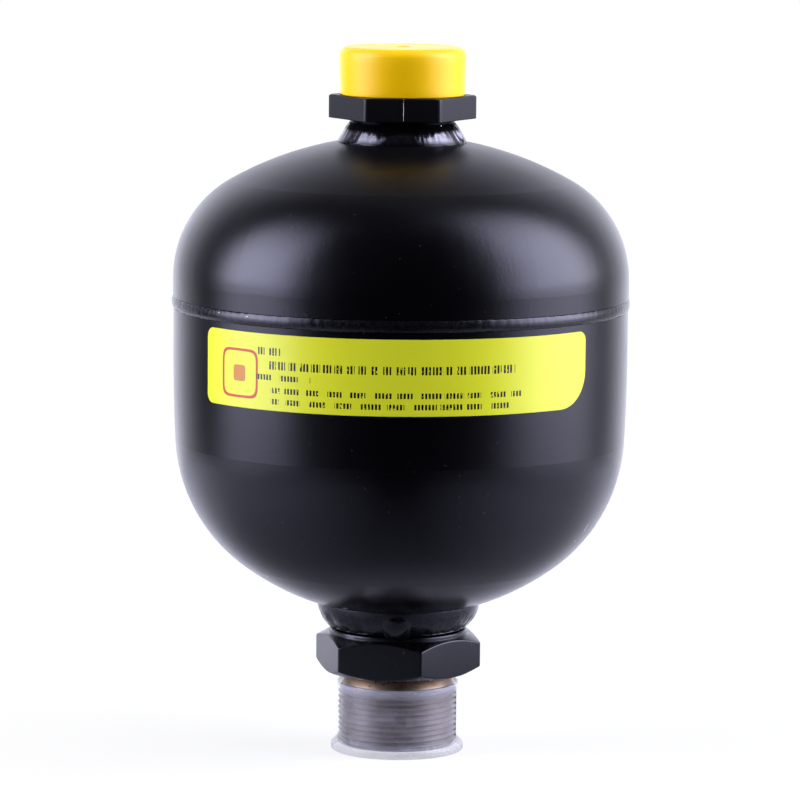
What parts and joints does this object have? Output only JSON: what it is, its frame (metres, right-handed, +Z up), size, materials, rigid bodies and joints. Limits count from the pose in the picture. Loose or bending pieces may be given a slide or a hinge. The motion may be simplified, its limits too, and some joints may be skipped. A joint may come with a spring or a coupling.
{
  "type": "diaphragm accumulator",
  "caption": "Welded pressure vessel with a domed top and a rounded lower cup, a capped threaded port below and a capped charging stub above, with a rubber diaphragm inside.",
  "frame": {"origin": "on the vessel's axis at the underside of the fluid port's cap, on which the part stands", "axes": "+Z up the vessel's axis from the fluid port to the gas port; -Y towards the label's middle, +X to the right of someone who reads the label"},
  "size_m": [0.1268, 0.1268, 0.196],
  "materials": {
    "black_paint": "satin",
    "port_steel": "satin",
    "plated_steel": "satin",
    "plain_steel": "machined",
    "black_rubber": "matte",
    "yellow_cap": "soft gloss",
    "clear_cap": "clear",
    "label_film": "gloss"
  },
  "bodies": {
    "vessel": {"upper_shell": "black_paint", "lower_shell": "black_paint", "girth_weld": "black_paint", "gas_port_boss": "black_paint", "gas_port_weld": "black_paint", "fluid_port_boss": "port_steel", "fluid_port_weld": "black_paint", "clamp_ring": "plain_steel", "diaphragm": "black_rubber", "label": "label_film"},
    "gas_cap": {"gas_port_cap": "yellow_cap"},
    "port_cap": {"port_thread_cap": "clear_cap"},
    "charging_seal": {"charging_screw_seal": "black_rubber"},
    "charging_screw": {"charging_screw": "plated_steel"},
    "closing_button": {"closing_button": "plated_steel"}
  },
  "joints": [
    {"name": "gas_cap_pull", "type": "slide", "parent": "vessel", "child": "gas_cap", "axis": [0, 0, 1], "range_m": [0, 0.045]},
    {"name": "port_cap_pull", "type": "slide", "parent": "vessel", "child": "port_cap", "axis": [0, 0, -1], "range_m": [0, 0.06]},
    {"name": "charging_seal_lift", "type": "slide", "parent": "vessel", "child": "charging_seal", "axis": [0, 0, 1], "range_m": [0, 0.0013]},
    {"name": "charging_screw_turn", "type": "hinge", "parent": "charging_seal", "child": "charging_screw", "pos_m": [0, 0, 0.19], "axis": [0, 0, 1], "range_deg": [0, 360]},
    {"name": "diaphragm_stroke", "type": "slide", "parent": "vessel", "child": "closing_button", "axis": [0, 0, 1], "range_m": [0, 0.08], "deforming": ["diaphragm"]}
  ],
  "couplings": [
    {"joint": "charging_seal_lift", "follows": "charging_screw_turn", "m_per_rad": 0.00019894}
  ]
}
